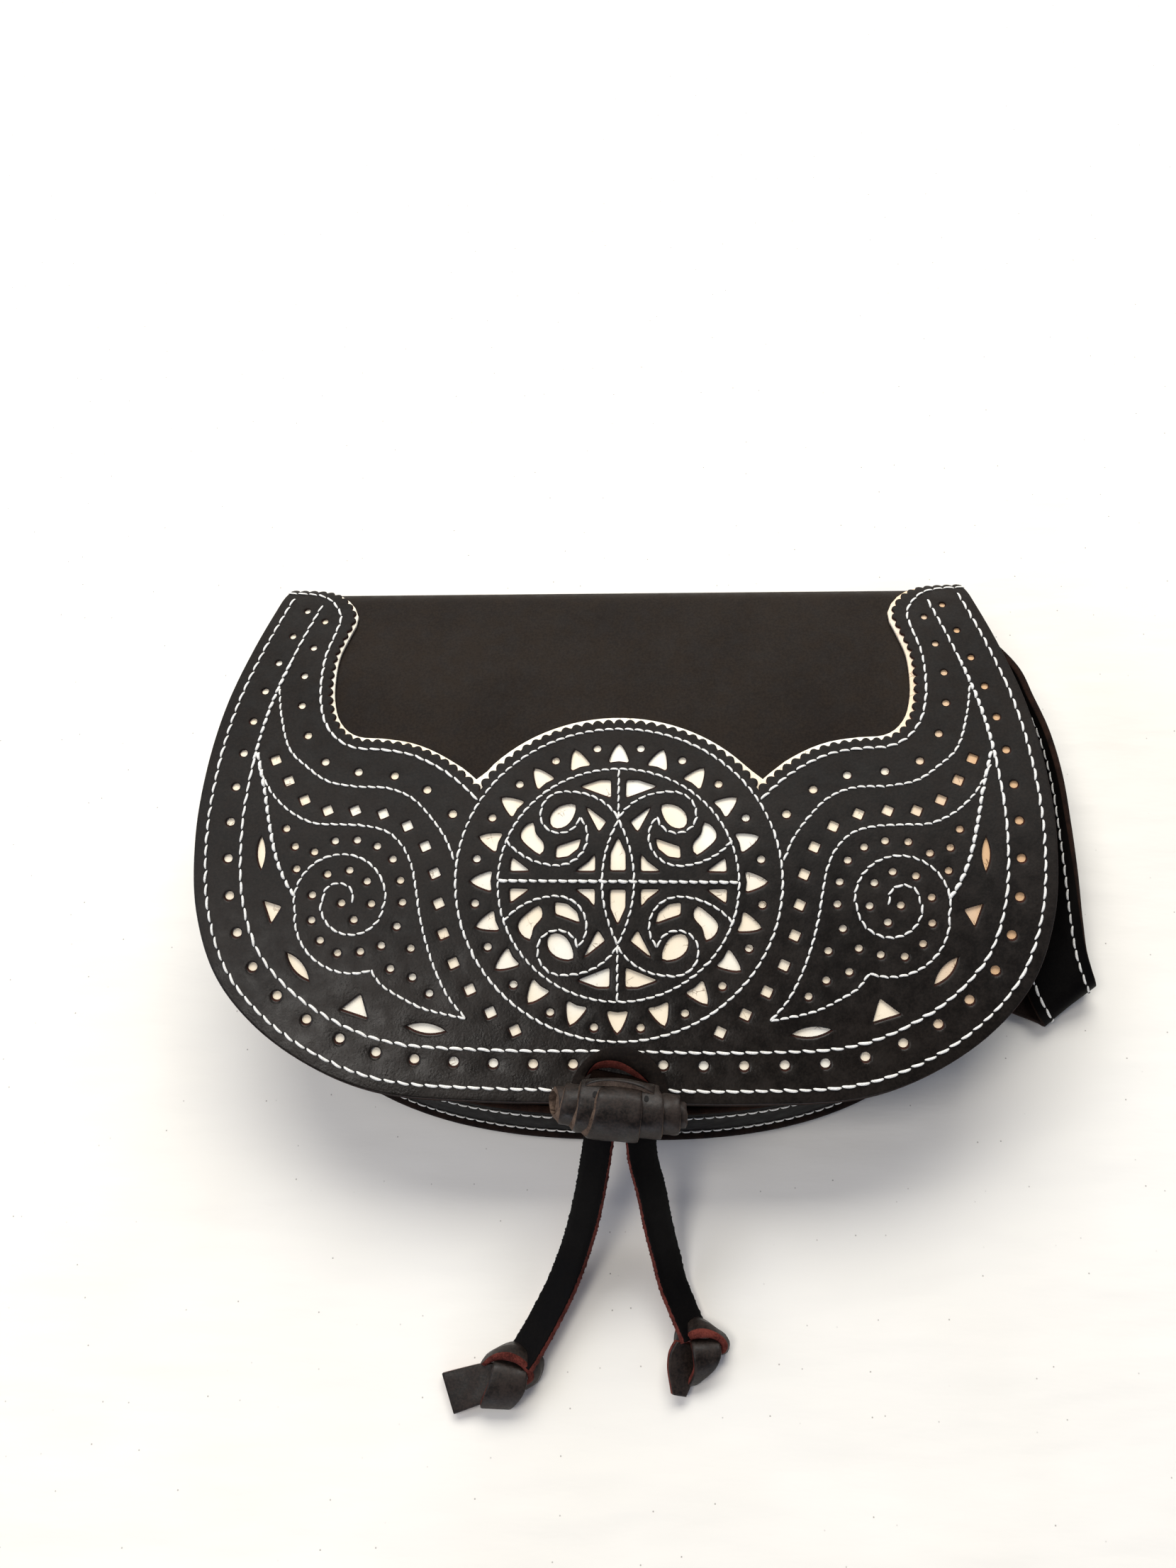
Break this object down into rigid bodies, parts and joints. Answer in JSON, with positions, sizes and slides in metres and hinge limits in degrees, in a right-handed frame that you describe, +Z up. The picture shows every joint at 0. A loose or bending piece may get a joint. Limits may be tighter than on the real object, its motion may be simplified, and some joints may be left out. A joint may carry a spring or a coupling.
{
  "type": "half-moon shoulder bag",
  "caption": "Closed half-moon leather shoulder bag on its back, with a pierced and stitched ornament on the flap, a rolled toggle with knotted thongs, and its strap.",
  "frame": {"origin": "middle of the footprint, on the surface that the bag lies on", "axes": "+Z up out of the flap, +Y towards the top fold, +X across the bag to the side where the strap stands"},
  "size_m": [0.2922, 0.2724, 0.0599],
  "materials": {
    "leather": "waxed, satin",
    "cream_leather": "plain, matt",
    "strap_leather": "satin grain, brown raw edges",
    "toggle_leather": "worn, matt"
  },
  "bodies": {
    "root": {"back_and_flap": "leather", "flap_underlay": "cream_leather", "flap_overlay": "leather", "front_panel": "leather", "gusset": "leather", "closure_patch": "leather", "toggle_roll": "toggle_leather", "toggle_band": "toggle_leather", "tail_left": "strap_leather", "tail_right": "strap_leather", "knot_left": "toggle_leather", "knot_right": "toggle_leather", "strap": "strap_leather"}
  },
  "joints": []
}
